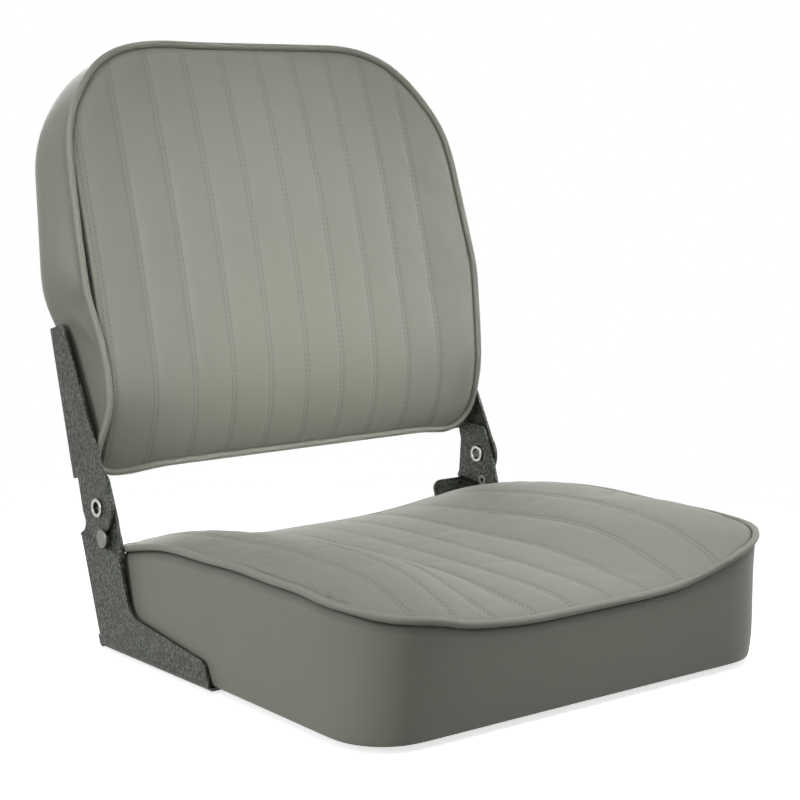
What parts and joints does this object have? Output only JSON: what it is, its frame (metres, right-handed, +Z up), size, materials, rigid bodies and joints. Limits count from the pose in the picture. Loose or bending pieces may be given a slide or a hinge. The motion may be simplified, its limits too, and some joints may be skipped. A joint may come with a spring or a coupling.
{
  "type": "folding seat",
  "caption": "Padded fold-down seat whose backrest folds forward on riveted steel hinges, covered in piped vinyl with sewn channels.",
  "frame": {"origin": "centre of the four-hole mounting pattern on the underside of the seat board", "axes": "+X towards the sitter's left, -Y the way the sitter faces, +Z up"},
  "size_m": [0.4434, 0.5116, 0.505],
  "materials": {
    "vinyl_panel": "satin grained vinyl",
    "vinyl_band": "satin grained vinyl",
    "vinyl_piping": "satin vinyl",
    "foam": "open-cell foam",
    "plywood": "bare plywood",
    "hinge_paint": "hammered paint",
    "nickel": "bright plated",
    "zinc_steel": "zinc plated"
  },
  "bodies": {
    "seat": {"seat_board": "plywood", "seat_foam": "foam", "seat_top_panel": "vinyl_panel", "seat_side_band": "vinyl_band", "seat_welt": "vinyl_piping", "seat_mount_tee_nuts": "zinc_steel", "seat_hinge_tee_nuts": "zinc_steel", "seat_hinge_bolts": "zinc_steel", "left_seat_bracket": "hinge_paint", "left_pivot_rivet": "nickel", "left_pivot_washer": "zinc_steel", "left_stop_stud": "nickel", "right_seat_bracket": "hinge_paint", "right_pivot_rivet": "nickel", "right_pivot_washer": "zinc_steel", "right_stop_stud": "nickel"},
    "back": {"back_board": "plywood", "back_foam": "foam", "back_front_panel": "vinyl_panel", "back_side_band": "vinyl_band", "back_welt": "vinyl_piping", "back_rear_cover": "vinyl_band", "back_hinge_tee_nuts": "zinc_steel", "back_hinge_bolts": "zinc_steel", "left_back_arm": "hinge_paint", "right_back_arm": "hinge_paint"}
  },
  "joints": [
    {"name": "back_fold", "type": "hinge", "parent": "seat", "child": "back", "pos_m": [0, 0.185, 0.114], "axis": [1, 0, 0], "range_deg": [0, 88]}
  ]
}
